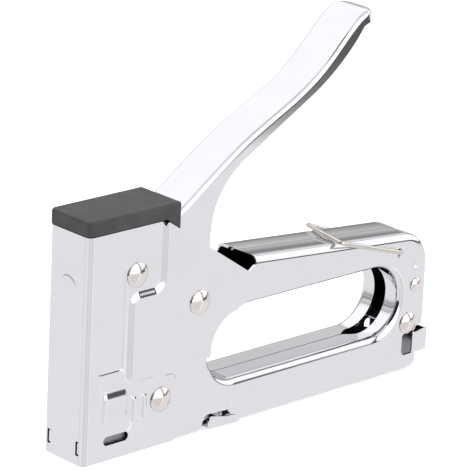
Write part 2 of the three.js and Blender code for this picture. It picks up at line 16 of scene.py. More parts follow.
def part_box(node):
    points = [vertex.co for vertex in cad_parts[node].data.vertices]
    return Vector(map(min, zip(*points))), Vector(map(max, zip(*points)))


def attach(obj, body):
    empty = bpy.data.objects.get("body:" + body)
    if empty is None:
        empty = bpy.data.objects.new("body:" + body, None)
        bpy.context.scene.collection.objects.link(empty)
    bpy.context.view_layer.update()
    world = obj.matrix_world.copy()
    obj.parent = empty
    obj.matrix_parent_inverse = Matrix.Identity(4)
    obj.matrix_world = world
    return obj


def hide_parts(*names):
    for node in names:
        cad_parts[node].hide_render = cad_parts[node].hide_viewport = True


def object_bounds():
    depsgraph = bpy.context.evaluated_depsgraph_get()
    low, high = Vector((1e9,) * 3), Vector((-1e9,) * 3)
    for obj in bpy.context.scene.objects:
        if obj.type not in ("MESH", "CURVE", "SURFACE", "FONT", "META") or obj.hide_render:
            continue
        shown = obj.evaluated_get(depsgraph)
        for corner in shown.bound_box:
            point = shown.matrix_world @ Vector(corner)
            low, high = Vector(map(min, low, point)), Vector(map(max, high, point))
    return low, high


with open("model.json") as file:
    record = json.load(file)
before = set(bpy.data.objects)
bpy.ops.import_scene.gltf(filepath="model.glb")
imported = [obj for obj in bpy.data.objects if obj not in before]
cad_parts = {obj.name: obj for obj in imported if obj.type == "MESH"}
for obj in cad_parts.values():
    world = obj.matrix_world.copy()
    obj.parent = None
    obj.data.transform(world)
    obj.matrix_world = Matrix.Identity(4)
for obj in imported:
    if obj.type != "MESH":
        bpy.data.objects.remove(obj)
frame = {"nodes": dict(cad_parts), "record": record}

CAD_BOUNDS = [list(corner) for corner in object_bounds()]
MM = 0.001
CAP_OVERHANG = 0.2       # the cap, the foremost piece, stands this far in front of the nose, mm
NOSE_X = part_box("top_cap")[0].x + CAP_OVERHANG * MM


def at(x, y, z):
    """A drawing point, in millimetres, as a point in the row frame, in metres."""
    return Vector((NOSE_X + x * MM, y * MM, z * MM))


# ---- camera -------------------------------------------------------------------------------

CAMERA_AZIMUTH = math.radians(-43.77)
CAMERA_ELEVATION = math.radians(18.6)
CAMERA_ROLL = math.radians(2.81)
CAMERA_AT = (-603.8, -703.2, 387.9)      # drawing frame, mm
CAMERA_LENS = 245.5                      # on a 36 mm sensor


def add_camera():
    azimuth, elevation = CAMERA_AZIMUTH, CAMERA_ELEVATION
    back = Vector((
        math.sin(azimuth) * math.cos(elevation),
        -math.cos(azimuth) * math.cos(elevation),
        math.sin(elevation),
    ))
    level = Vector((math.cos(azimuth), math.sin(azimuth), 0))
    upright = back.cross(level)
    right = level * math.cos(CAMERA_ROLL) + upright * math.sin(CAMERA_ROLL)
    up = upright * math.cos(CAMERA_ROLL) - level * math.sin(CAMERA_ROLL)
    data = bpy.data.cameras.new("camera")
    data.sensor_width = 36
    data.lens = CAMERA_LENS
    data.clip_start = 0.01
    data.clip_end = 50
    camera = bpy.data.objects.new("camera", data)
    turn = Matrix((right, up, back)).transposed().to_4x4()
    camera.matrix_world = Matrix.Translation(at(*CAMERA_AT)) @ turn
    bpy.context.scene.collection.objects.link(camera)
    bpy.context.scene.camera = camera


add_camera()

# ---- materials ----------------------------------------------------------------------------


class Nodes:
    """Small helper round one node tree."""

    def __init__(self, tree):
        self.tree = tree
        tree.nodes.clear()

    def add(self, kind, **settings):
        node = self.tree.nodes.new(kind)
        for name, value in settings.items():
            if name in node.inputs:
                node.inputs[name].default_value = value
            else:
                setattr(node, name, value)
        return node

    def link(self, source, target):
        self.tree.links.new(source, target)

    def math(self, operation, *values, clamp=False):
        node = self.tree.nodes.new("ShaderNodeMath")
        node.operation = operation
        node.use_clamp = clamp
        for socket, value in zip(node.inputs, values):
            if isinstance(value, (int, float)):
                socket.default_value = value
            else:
                self.link(value, socket)
        return node.outputs[0]

    def step(self, value, start, end):
        """0 before start and 1 past end, eased; start may be the larger one."""
        node = self.tree.nodes.new("ShaderNodeMapRange")
        node.interpolation_type = "SMOOTHSTEP"
        node.inputs["From Min"].default_value = start
        node.inputs["From Max"].default_value = end
        self.link(value, node.inputs["Value"])
        return node.outputs[0]

    def ramp(self, factor, stops):
        node = self.tree.nodes.new("ShaderNodeValToRGB")
        elements = node.color_ramp.elements
        while len(elements) < len(stops):
            elements.new(0.5)
        for element, (position, value) in zip(elements, stops):
            element.position = position
            colour = (value,) * 3 if isinstance(value, (int, float)) else value
            element.color = (*colour, 1)
        self.link(factor, node.inputs[0])
        return node.outputs[0]


def noise(nodes, coords, scale, detail=3.0, roughness=0.5, stretch=None):
    """Noise over the piece's own coordinates, in metres; scale is cycles per metre."""
    if stretch:
        mapping = nodes.add("ShaderNodeMapping")
        mapping.inputs["Scale"].default_value = stretch
        nodes.link(coords, mapping.inputs["Vector"])
        coords = mapping.outputs[0]
    node = nodes.add("ShaderNodeTexNoise", Scale=scale, Detail=detail, Roughness=roughness)
    nodes.link(coords, node.inputs["Vector"])
    return node.outputs["Fac"]


def new_material(name):
    material = bpy.data.materials.new(name)
    material.use_nodes = True
    nodes = Nodes(material.node_tree)
    out = nodes.add("ShaderNodeOutputMaterial")
    shader = nodes.add("ShaderNodeBsdfPrincipled")
    nodes.link(shader.outputs[0], out.inputs[0])
    coords = nodes.add("ShaderNodeTexCoord").outputs["Object"]
    return material, nodes, shader, coords


def metal(name, colour, roughness, spread=0.03, blotch=0.05, grain=None, wave=0.0, tarnish=None):
    """A metal: colour with slow blotches, roughness with fine smears, and a soft bump.

    grain is the stretch of brushed or drawn scratches, wave the depth of the sheet's slow ripple
    in millimetres, and tarnish the colour that gathers in the blotches.
    """
    material, nodes, shader, coords = new_material(name)
    shader.inputs["Metallic"].default_value = 1
    slow = noise(nodes, coords, 90, 2)
    fine = noise(nodes, coords, 900 if grain is None else 500, 4, 0.6, grain)
    dark = tarnish or tuple(c * (1 - blotch) for c in colour)
    tint = nodes.ramp(slow, [(0.35, dark), (0.62, colour)])
    nodes.link(tint, shader.inputs["Base Color"])
    low, high = max(roughness - spread, 0.02), roughness + spread
    mix = nodes.add("ShaderNodeMapRange")
    mix.inputs["From Min"].default_value = 0.3
    mix.inputs["From Max"].default_value = 0.7
    mix.inputs["To Min"].default_value = low
    mix.inputs["To Max"].default_value = high
    nodes.link(fine, mix.inputs["Value"])
    nodes.link(mix.outputs[0], shader.inputs["Roughness"])
    height = fine
    depth = 0.002
    if wave:
        height = noise(nodes, coords, 60, 1)
        depth = wave
    bump = nodes.add("ShaderNodeBump", Strength=1.0, Distance=depth * MM)
    nodes.link(height, bump.inputs["Height"])
    nodes.link(bump.outputs[0], shader.inputs["Normal"])
    return material


def plastic(name, colour, roughness, grain_scale, grain_depth):
    """Moulded plastic or rubber: fine spark-eroded grain, slightly paler where it is rubbed."""
    material, nodes, shader, coords = new_material(name)
    pale = tuple(min(c * 1.35 + 0.004, 1) for c in colour)
    tint = nodes.ramp(noise(nodes, coords, 160, 3), [(0.4, colour), (0.75, pale)])
    nodes.link(tint, shader.inputs["Base Color"])
    grain = noise(nodes, coords, grain_scale, 2, 0.6)
    rough = nodes.add("ShaderNodeMapRange")
    rough.inputs["To Min"].default_value = roughness - 0.06
    rough.inputs["To Max"].default_value = roughness + 0.08
    nodes.link(grain, rough.inputs["Value"])
    nodes.link(rough.outputs[0], shader.inputs["Roughness"])
    bump = nodes.add("ShaderNodeBump", Strength=0.6, Distance=grain_depth * MM)
    nodes.link(grain, bump.inputs["Height"])
    nodes.link(bump.outputs[0], shader.inputs["Normal"])
    return material


MATERIALS = {
    "chrome": metal("chrome", (0.80, 0.80, 0.83), 0.055, 0.02, 0.02, wave=0.004),
    "rivet": metal("rivet", (0.83, 0.775, 0.765), 0.12, 0.04, 0.05),
    "zinc": metal("zinc", (0.60, 0.61, 0.64), 0.34, 0.08, 0.14, grain=(0.15, 1, 1)),
    "tool_steel": metal("tool_steel", (0.30, 0.30, 0.32), 0.38, 0.08, 0.25, grain=(1, 1, 0.15)),
    "spring_steel": metal("spring_steel", (0.42, 0.42, 0.44), 0.3, 0.08, 0.2),
    "wire": metal("wire", (0.74, 0.71, 0.67), 0.17, 0.05, 0.08),
    "cap": plastic("cap", (0.028, 0.027, 0.030), 0.42, 2600, 0.02),
    "rubber": plastic("rubber", (0.012, 0.012, 0.013), 0.72, 1800, 0.03),
}
# Near-black metal: bare, unpolished metal darkened with painted shade, for the hidden sides and cut edges
# of the sheets.
BARE_AND_SHADED_METAL = metal("bare_and_shaded_metal", (0.035, 0.035, 0.038), 0.5, 0.1, 0.3)

# ---- outlines -----------------------------------------------------------------------------

ARC_STEP = math.radians(6)


def rounded(corners, closed=True, step=ARC_STEP):
    """Points of an outline given as (x, z) or (x, z, radius) corners."""
    points = []
    count = len(corners)
    for i, corner in enumerate(corners):
        here = Vector(corner[:2])
        radius = corner[2] if len(corner) > 2 else 0
        if not radius or (not closed and i in (0, count - 1)):
            points.append(here)
            continue
        before = (Vector(corners[i - 1][:2]) - here).normalized()
        after = (Vector(corners[(i + 1) % count][:2]) - here).normalized()
        half = before.angle(after) / 2
        centre = here + (before + after).normalized() * radius / math.sin(half)
        start = here + before * radius / math.tan(half) - centre
        end = here + after * radius / math.tan(half) - centre
        swing = math.atan2(start.x * end.y - start.y * end.x, start.dot(end))
        steps = max(2, math.ceil(abs(swing) / step))
        for k in range(steps + 1):
            turn = Matrix.Rotation(swing * k / steps, 2)
            points.append(turn @ start + centre)
    return points


def arc(centre, radius, start, end, step=ARC_STEP):
    """Points on a circle from one angle to another, in degrees."""
    a, b = math.radians(start), math.radians(end)
    steps = max(2, math.ceil(abs(b - a) / step))
    angles = [a + (b - a) * k / steps for k in range(steps + 1)]
    return [Vector((centre[0] + radius * math.cos(t), centre[1] + radius * math.sin(t))) for t in angles]


def long_hole(x0, x1, z, radius):
    return arc((x0, z), radius, 90, 270) + arc((x1, z), radius, -90, 90)


def offset(points, distance, closed=True):
    """The outline moved to its left by distance."""
    moved = []
    count = len(points)
    for i, here in enumerate(points):
        first = here - points[i - 1] if closed or i else points[1] - here
        last = points[(i + 1) % count] - here if closed or i < count - 1 else here - points[i - 1]
        a = Vector((-first.y, first.x)).normalized()
        b = Vector((-last.y, last.x)).normalized()
        middle = (a + b).normalized()
        moved.append(here + middle * distance / max(middle.dot(a), 0.3))
    return moved


def inside(point, polygon):
    hit = False
    for a, b in zip(polygon, polygon[1:] + polygon[:1]):
        if (a.y > point.y) != (b.y > point.y):
            if point.x < a.x + (point.y - a.y) / (b.y - a.y) * (b.x - a.x):
                hit = not hit
    return hit


class Skin:
    """One side of a pressed sheet, gathered in drawing millimetres; equal points are one vertex."""

    def __init__(self):
        self.index = {}
        self.points = []
        self.faces = []

    def vertex(self, point):
        key = tuple(round(c, 3) for c in point)
        if key not in self.index:
            self.index[key] = len(self.points)
            self.points.append(Vector(point))
        return self.index[key]

    def face(self, corners):
        ids = []
        for corner in corners:
            number = self.vertex(corner)
            if number not in ids:
                ids.append(number)
        if len(ids) > 2:
            self.faces.append(ids)

    def strip(self, first, second, closed=False):
        """Quads between two rows of the same number of points."""
        count = len(first)
        for i in range(count if closed else count - 1):
            j = (i + 1) % count
            self.face([first[i], first[j], second[j], second[i]])

    def rows(self, rows, closed=False):
        for first, second in zip(rows, rows[1:]):
            self.strip(first, second, closed)

    def fill(self, boundary, holes, lift):
        """A flat region between outlines; lift turns its (u, v) into a drawing point."""
        flat = [p for loop in [boundary, *holes] for p in loop]
        edges = []
        start = 0
        for loop in [boundary, *holes]:
            edges += [(start + i, start + (i + 1) % len(loop)) for i in range(len(loop))]
            start += len(loop)
        points, _, triangles = delaunay_2d_cdt(flat, edges, [], 0, 1e-6)[:3]
        for triangle in triangles:
            corners = [points[i] for i in triangle]
            middle = sum(corners, Vector((0, 0))) / 3
            if inside(middle, boundary) and not any(inside(middle, hole) for hole in holes):
                self.face([lift(p) for p in corners])

    def mirrored(self):
        """Adds the same faces on the other side of the mid-plane."""
        for ids in list(self.faces):
            corners = [self.points[i] for i in ids]
            self.face([(p.x, -p.y, p.z) for p in reversed(corners)])


def finish_mesh(name, mesh_data, body, slot, replaced=()):
    piece = bpy.data.objects.new(name, mesh_data)
    bpy.context.scene.collection.objects.link(piece)
    mesh_data.materials.append(MATERIALS[slot])
    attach(piece, body)
    if replaced:
        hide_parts(*replaced)
    return piece


def mesh_from(name, points, faces, core=None, merge=True):
    """A mesh in the row frame. core is a drawing point behind the skin, which then faces away from it."""
    mesh = bmesh.new()
    verts = [mesh.verts.new(at(*p)) for p in points]
    for ids in faces:
        try:
            mesh.faces.new([verts[i] for i in ids])
        except ValueError:
            pass
    if merge:
        bmesh.ops.dissolve_limit(
            mesh, angle_limit=math.radians(0.4), use_dissolve_boundaries=False,
            verts=mesh.verts[:], edges=mesh.edges[:],
        )
    bmesh.ops.recalc_face_normals(mesh, faces=mesh.faces[:])
    mesh.normal_update()
    if core is not None:
        middle = at(*core)
        facing = sum(f.normal.dot(f.calc_center_median() - middle) * f.calc_area() for f in mesh.faces)
        if facing < 0:
            bmesh.ops.reverse_faces(mesh, faces=mesh.faces[:])
    for face in mesh.faces:
        face.smooth = True
    data = bpy.data.meshes.new(name)
    mesh.to_mesh(data)
    mesh.free()
    return data


def soften(piece, width, segments=2, angle=38):
    """Rounds the piece's cut edges by width millimetres and keeps its flats flat."""
    bevel = piece.modifiers.new("edges", "BEVEL")
    bevel.limit_method = "ANGLE"
    bevel.angle_limit = math.radians(angle)
    bevel.width = width * MM
    bevel.segments = segments
    bevel.miter_outer = "MITER_ARC"
    weighted = piece.modifiers.new("flats", "WEIGHTED_NORMAL")
    weighted.weight = 100
    weighted.keep_sharp = True
    return piece


def sheet(name, skin, thickness, core, body, slot, replaced=(), edge=0.14, bare_and_shaded_inside=False, shaded_rims=False):
    """A pressed-sheet piece: the skin, its thickness behind it, and softened cut edges.

    The inside flag gives the hidden side near-black metal: bare, unpolished metal darkened with painted
    shade, for the shade inside the sheet. The rim flag gives the cut edges that painted shade too, which
    the chrome beside them shows as dark lines.
    """
    piece = finish_mesh(name, mesh_from(name, skin.points, skin.faces, core), body, slot, replaced)
    thick = piece.modifiers.new("thickness", "SOLIDIFY")
    # painted shade: the hidden side gets the near-black, bare metal
    if bare_and_shaded_inside:
        piece.data.materials.append(BARE_AND_SHADED_METAL)
        thick.material_offset = 1
        # painted shade on the cut edges, which the chrome beside them shows as dark lines
        thick.material_offset_rim = 1 if shaded_rims else 0
    thick.thickness = thickness * MM
    thick.offset = -1
    thick.use_even_offset = True
    return soften(piece, edge)


# ---- shared dimensions, mm ----------------------------------------------------------------

SHEET = 0.9
FIT = 0.1
NOSE_HALF = 9.5
NOSE_HEIGHT = 75.3
NOSE_TOP = NOSE_HEIGHT - 0.25            # the sheet ends a little under the cap's rim
NOSE_CORNER = 2.0
PANEL_HALF = NOSE_HALF + SHEET
BODY_HALF = NOSE_HALF - FIT
LOOP = dict(front=64.0, rear=126.6, z=27.2, radius=12.2)
SLANT_FRONT = (31.0, 75.2)
SLANT_REAR = (66.9, 51.4)
PIVOT = (46, 45.3)
BEND_STEPS = 8
FLANGE_STEPS = 5
WALL_STEPS = 6
WIRE_PIVOT = (137.3, 43.7)
WIRE_HALF = 10.9
WIRE_NEAR = (107.6, 53.0)                # bends of the cross bar, over the grip
WIRE_FAR = (113.0, 52.4)
LATCH_REAR = 152.8
LATCH_HALF = 10.6


def slant_z(x):
    slope = (SLANT_REAR[1] - SLANT_FRONT[1]) / (SLANT_REAR[0] - SLANT_FRONT[0])
    return SLANT_FRONT[1] + slope * (x - SLANT_FRONT[0])


def smooth(t):
    return t * t * (3 - 2 * t)


# ---- front housing ------------------------------------------------------------------------

JOGGLE_WIDTH = 2.4
JOGGLE_STEPS = 8
NOTCH_LOW = 73.4                         # relief notch where the joggle meets the upper edge
NOTCH_MIDDLE = 0.5
NOTCH_SLOPE = 4.0
JOGGLE_REAR = 33.6
NOSE_PLATE_CORNER = (38.2, 23.2, 2.8)


def emboss(skin, foot, crest, depth, lift, steps=6):
    """A pressed shape: a slope from the foot outline up to the crest outline, then a plateau."""
    rows = []
    for k in range(steps + 1):
        t = k / steps
        rows.append([lift(a.lerp(b, t), depth(b) * smooth(t)) for a, b in zip(foot, crest)])
    skin.rows(rows, closed=True)
    skin.fill(crest, [], lambda p: lift(p, depth(p)))


def rectangle(x0, x1, z0, z1, radius):
    return rounded([(x0, z0, radius), (x1, z0, radius), (x1, z1, radius), (x0, z1, radius)])


CREST_X = 31.9                           # front edge of the raised panel
WINDOW_Y = 6.75                          # windows low on the nose's front
WINDOW_HALF = 0.75
WINDOW_Z = (3.2, 8)
GUIDE_TAB_X = (0.3, 3.0)
GUIDE_TAB_Y = (6.25, 7.43)
GUIDE_TAB_Z = (3.5, 7.5)


def front_housing():
    skin = Skin()
    crest = rounded([
        (CREST_X, slant_z(CREST_X)),
        (CREST_X, 51.7, 4.8),
        (19.0, 51.7, 2.0),
        (19.0, 25.6, 2.0),
        (JOGGLE_REAR, 25.6),
    ], closed=False)
    foot = offset(crest, -JOGGLE_WIDTH, closed=False)
    foot[0].y = NOSE_TOP

    def nose_side(p, rise=0.0):
        return (p.x, -NOSE_HALF - rise, p.y)

    rows = []
    for k in range(JOGGLE_STEPS + 1):
        t = k / JOGGLE_STEPS
        row = [a.lerp(b, t) for a, b in zip(foot, crest)]
        row[0].y = min(row[0].y, NOTCH_LOW + abs(t - NOTCH_MIDDLE) * NOTCH_SLOPE)
        rows.append([nose_side(p, SHEET * smooth(t)) for p in row])
    skin.rows(rows)

    panel = crest + [Vector((51.6, 25.5)), Vector((52.4, LOOP["z"]))]
    panel += arc((LOOP["front"], LOOP["z"]), LOOP["radius"] - FIT, 178, 96)
    panel += rounded([
        (64.2, 40.3),
        (SLANT_REAR[0], 40.9, 2.2),
        (SLANT_REAR[0], SLANT_REAR[1], 1.2),
        (CREST_X, slant_z(CREST_X)),
    ], closed=False)
    skin.fill(panel, [], lambda p: (p.x, -PANEL_HALF, p.y))

    nose = [Vector((NOSE_CORNER, 0))]
    nose += rounded([
        (30, 0),
        (NOSE_PLATE_CORNER[0], 0, 0.5),
        NOSE_PLATE_CORNER,
        (34, foot[-1].y),
    ], closed=False)[1:-1]
    nose += list(reversed(foot))
    nose += [Vector((NOSE_CORNER, NOSE_TOP))]
    slot = long_hole(9.9, 17.1, 6.6, 1.5)
    boss = rectangle(7.2, 17.9, 12.4, 23.8, 1.8)
    ribs = [rectangle(x, x + 2.5, 10.4, 19.4, 1.0) for x in (19.6, 23.8)]
    field = rectangle(5, 15.3, 29, 63, 1.2)
    skin.fill(nose, [slot, boss, *ribs, field], nose_side)
    boss_top = rectangle(8.3, 16.8, 13.1, 19.8, 0.9)
    emboss(skin, boss, boss_top, lambda p: 0.2 + 0.6 * (p.y - 12.6) / 7.4, nose_side)
    for rib in ribs:
        x = rib[0].x + 1.15
        emboss(skin, rib, rectangle(x - 0.25, x + 0.25, 11.2, 18.0, 0.2), lambda p: 0.3, nose_side)
    emboss(skin, field, rectangle(5.5, 14.8, 29.5, 62.5, 0.8), lambda p: -0.14, nose_side)
    skin.mirrored()

    bend = []
    for k in range(BEND_STEPS + 1):
        angle = math.pi / 2 * k / BEND_STEPS
        x = NOSE_CORNER * (1 - math.sin(angle))
        y = NOSE_HALF - NOSE_CORNER * (1 - math.cos(angle))
        bend.append([(x, -y, z) for z in (0, NOSE_TOP)])
    skin.rows(bend)
    skin.rows([[(x, -y, z) for x, y, z in row] for row in bend])

    def front(p, rise=0.0):
        return (-rise, p.x, p.y)

    flat = NOSE_HALF - NOSE_CORNER
    face = [Vector((-flat, 0)), Vector((flat, 0)), Vector((flat, NOSE_TOP)), Vector((-flat, NOSE_TOP))]
    rib = upright_hole(4.6, 20.4, 61.2)
    windows = []
    for side in (-1, 1):
        middle = side * WINDOW_Y
        windows.append(rectangle(middle - WINDOW_HALF, middle + WINDOW_HALF, *WINDOW_Z, 0.5))
    skin.fill(face, [rib, *windows], front)
    emboss(skin, rib, upright_hole(3.8, 21.2, 60.4), lambda p: 0.2, front)
    # The housing's hidden side and its cut edges get the painted shade of the near-black metal.
    return sheet(
        "housing", skin, SHEET, (20, 0, 40), "frame", "chrome", ["front_housing"],
        edge=0.34, bare_and_shaded_inside=True, shaded_rims=True,
    )


def upright_hole(half, low, high):
    return arc((0, low + half), half, 180, 360) + arc((0, high - half), half, 0, 180)


# ---- body shells --------------------------------------------------------------------------

BODY_BOTTOM = 1.3
BODY_REAR = 152.0
BODY_LOWER_REAR = 148.0
LATCH_CUT = dict(x=141.2, low=6.2, high=15.4)
GRIP_FRONT = (71.2, 55.15)
GRIP_FALL = 0.088
GRIP_REAR_R = 12
GRIP_BEND = 2.6
LOOP_BEND = 2.5
LOOP_GAP = 2.6                           # half the gap between the flanges round the loop's rear
SHELL_GAP = 0.08                         # to the nose plate in front of it
TAB_NOTCH = [(50.6, 1.3, 0.4), (51.2, 5.5, 1.5), (62.4, 5.0, 1.4), (62.4, 1.3, 0.4)]
DIMPLE = (145.1, 37.3)
FULL_TURN = (0, 345)                     # a closed ring of points, 15 degrees apart


def grip_top_z(x):
    return GRIP_FRONT[1] - GRIP_FALL * (x - GRIP_FRONT[0])


def flange_rows(edge, bend, crown, seam, closed=False):
    """Rows of a flange turned in along an outline: over the bend, then in to seam(point).

    crown lets the flange sink a little towards the seam, as pressed sheet does.
    """
    rows = []
    for k in range(BEND_STEPS + 1):
        angle = math.pi / 2 * k / BEND_STEPS
        row = offset(edge, bend * (1 - math.sin(angle)), closed)
        rows.append([(p.x, BODY_HALF - bend * (1 - math.cos(angle)), p.y) for p in row])
    for k in range(1, FLANGE_STEPS + 1):
        t = k / FLANGE_STEPS
        row = offset(edge, crown * t * t, closed)
        reach = [(BODY_HALF - bend) * (1 - t) + seam(p) * t for p in edge]
        rows.append([(p.x, y, p.y) for p, y in zip(row, reach)])
    return rows


def grip_hole():
    """Outline of the finger loop, with extra points where the seam opens at its rear."""
    front, rear, z, radius = LOOP["front"], LOOP["rear"], LOOP["z"], LOOP["radius"]
    low = [Vector((rear - reach, z - radius)) for reach in (7, 5.5, 4, 2.5, 1)]
    high = [Vector((p.x, z + radius)) for p in reversed(low)]
    return arc((front, z), radius, 90, 270) + low + arc((rear, z), radius, -90, 90) + high


def loop_seam(p):
    """Where the loop's flange ends: at the seam below, well short of it round the rear arc."""
    rear = smooth(min(max((p.x - LOOP["rear"] + 6) / 5, 0), 1))
    nick = smooth(min(max((LOOP["front"] - 4.5 - p.x) / 3, 0), 1))
    return FIT + 0.05 + (LOOP_GAP - FIT) * max(rear, 0.35 * nick)


def body_shell(name, side, node):
    """side is -1 for the left shell and 1 for the right one."""
    skin = Skin()
    edge = rounded([
        (BODY_REAR, LATCH_CUT["high"]),
        (BODY_REAR, grip_top_z(BODY_REAR), GRIP_REAR_R),
        GRIP_FRONT,
    ], closed=False, step=math.radians(3))
    skin.rows(flange_rows(edge, GRIP_BEND, 0.16, lambda p: FIT))
    shoulder = offset(edge, GRIP_BEND, closed=False)
    loop = grip_hole()
    loop.reverse()
    skin.rows(flange_rows(loop, LOOP_BEND, 0.0, loop_seam, closed=True), closed=True)
    boundary = shoulder + rounded([
        (GRIP_FRONT[0] - 0.8, 52.4),
        (GRIP_FRONT[0] - 3, slant_z(66) - 1.2),
        (60, slant_z(60) - 1.2),
        (36, slant_z(36) - 3),
        (JOGGLE_REAR + 0.2, 60),
        (JOGGLE_REAR + 0.2, NOSE_PLATE_CORNER[1] + SHELL_GAP),
        (NOSE_PLATE_CORNER[0] + SHELL_GAP, NOSE_PLATE_CORNER[1] + SHELL_GAP, NOSE_PLATE_CORNER[2]),
        (NOSE_PLATE_CORNER[0] + SHELL_GAP, BODY_BOTTOM),
        *TAB_NOTCH,
        (BODY_LOWER_REAR, BODY_BOTTOM, 2),
        (BODY_LOWER_REAR, LATCH_CUT["low"] - 0.6, 0.6),
        (LATCH_CUT["x"], LATCH_CUT["low"] - 0.6, 1.8),
        (LATCH_CUT["x"], LATCH_CUT["high"] - 2, 1.4),
        (146.9, LATCH_CUT["high"] - 1.7, 0.6),
        (147.6, LATCH_CUT["high"] - 0.3, 0.8),
    ], closed=False)
    dimple = arc(DIMPLE, 1.3, *FULL_TURN)
    dimple_bottom = arc(DIMPLE, 0.4, *FULL_TURN)
    wire_hole = arc(WIRE_PIVOT, 1.15, *FULL_TURN)

    def face(p, rise=0.0):
        return (p.x, BODY_HALF + rise, p.y)

    skin.fill(boundary, [offset(loop, LOOP_BEND), dimple, wire_hole], face)
    emboss(skin, dimple, dimple_bottom, lambda p: -0.5, face)
    if side < 0:
        skin.points = [Vector((p.x, -p.y, p.z)) for p in skin.points]
    core = (105, side * 1.0, 48)
    return sheet(name, skin, SHEET, core, "frame", "chrome", [node], edge=0.12, bare_and_shaded_inside=True)


# ---- cap ----------------------------------------------------------------------------------

CAP_FRONT = -CAP_OVERHANG
CAP_REAR = 37.5
CAP_HALF = 9.7
CAP_TOP = 80.2
CAP_EDGE = 1.0
CAP_GAP = 0.3                            # over the slanted edge of the panel
CAP_WALL = 1.2
CAP_STEP_X = 31.4                        # where its lower edge stops being level
CAP_DOOR = 8.6                           # half-width of the rear opening, for the handle
CAP_DOOR_TOP = CAP_TOP - CAP_WALL


def cap_rim_z(x, y):
    """Lower edge of the cap: level along the nose, then down along the slanted panel."""
    level = NOSE_HEIGHT + FIT
    if x > CAP_REAR - 0.01 and abs(y) < CAP_DOOR:
        return CAP_DOOR_TOP
    if x <= CAP_STEP_X:
        return level
    return min(level, slant_z(x) + CAP_GAP)


def top_cap():
    skin = Skin()
    near = [
        (CAP_FRONT, -CAP_HALF, NOSE_CORNER),
        (CAP_STEP_X, -CAP_HALF),
        (CAP_REAR, -CAP_HALF, 1.0),
        (CAP_REAR, -CAP_DOOR),
        (CAP_REAR, 0.05 - CAP_DOOR),
    ]
    far = [(x, -y, *radius) for x, y, *radius in reversed(near)]
    plan = rounded(near + far)
    rows = [[(p.x, p.y, cap_rim_z(p.x, p.y)) for p in plan]]
    for k in range(BEND_STEPS + 1):
        angle = math.pi / 2 * k / BEND_STEPS
        row = offset(plan, CAP_EDGE * (1 - math.cos(angle)))
        rows.append([(p.x, p.y, CAP_TOP - CAP_EDGE * (1 - math.sin(angle))) for p in row])
    skin.rows(rows, closed=True)
    skin.fill(offset(plan, CAP_EDGE), [], lambda p: (p.x, p.y, CAP_TOP))
    return sheet("cap", skin, CAP_WALL, (18, 0, 60), "frame", "cap", ["top_cap"], edge=0.2)


# ---- handle -------------------------------------------------------------------------------

HANDLE_HALF = 8.3
HANDLE_SHEET = 1.0
HANDLE_BEND = 1.65
HANDLE_TIP_R = 5.5
HANDLE_LIP = 4.0                         # depth of the rim round the tip
HANDLE_BACK = [
    (34.4, 62), (34.2, 70), (36, 74.8), (40.4, 77.8), (52, 86), (64.8, 94.4), (77, 100.8),
    (87.3, 106.1), (97.2, 112.8), (109.1, 124.2), (113, 127.5), (117, 129.5), (121.2, 129.4),
]
HANDLE_EDGE = [
    (51.4, 58), (51.3, 65), (52.2, 72.5), (55.4, 79.8), (61.5, 86.4), (72.4, 92.9), (89.2, 102.5),
    (97, 107.1), (104.8, 113), (111.5, 119.7), (115.7, 125.2),
]
EYE = dict(at=PIVOT, radius=8.3)


def spline(points, steps):
    """A smooth curve through points, with its points evenly spaced along it."""
    padded = [2 * Vector(points[0]) - Vector(points[1])]
    padded += [Vector(p) for p in points]
    padded += [2 * Vector(points[-1]) - Vector(points[-2])]
    dense = []
    for a, b, c, d in zip(padded, padded[1:], padded[2:], padded[3:]):
        ka = math.sqrt((b - a).length)
        kb = math.sqrt((c - b).length)
        kc = math.sqrt((d - c).length)
        leave = (b - a) / ka - (c - a) / (ka + kb) + (c - b) / kb
        arrive = (c - b) / kb - (d - b) / (kb + kc) + (d - c) / kc
        for k in range(40):
            t = k / 40
            h = (2 * t**3 - 3 * t**2 + 1, t**3 - 2 * t**2 + t, -2 * t**3 + 3 * t**2, t**3 - t**2)
            dense.append(h[0] * b + h[1] * leave * kb + h[2] * c + h[3] * arrive * kb)
    dense.append(padded[-2])
    lengths = [0.0]
    for a, b in zip(dense, dense[1:]):
        lengths.append(lengths[-1] + (b - a).length)
    even = []
    j = 0
    for k in range(steps + 1):
        want = lengths[-1] * k / steps
        while j < len(lengths) - 2 and lengths[j + 1] < want:
            j += 1
        t = (want - lengths[j]) / (lengths[j + 1] - lengths[j])
        even.append(dense[j].lerp(dense[j + 1], t))
    return even, lengths[-1]


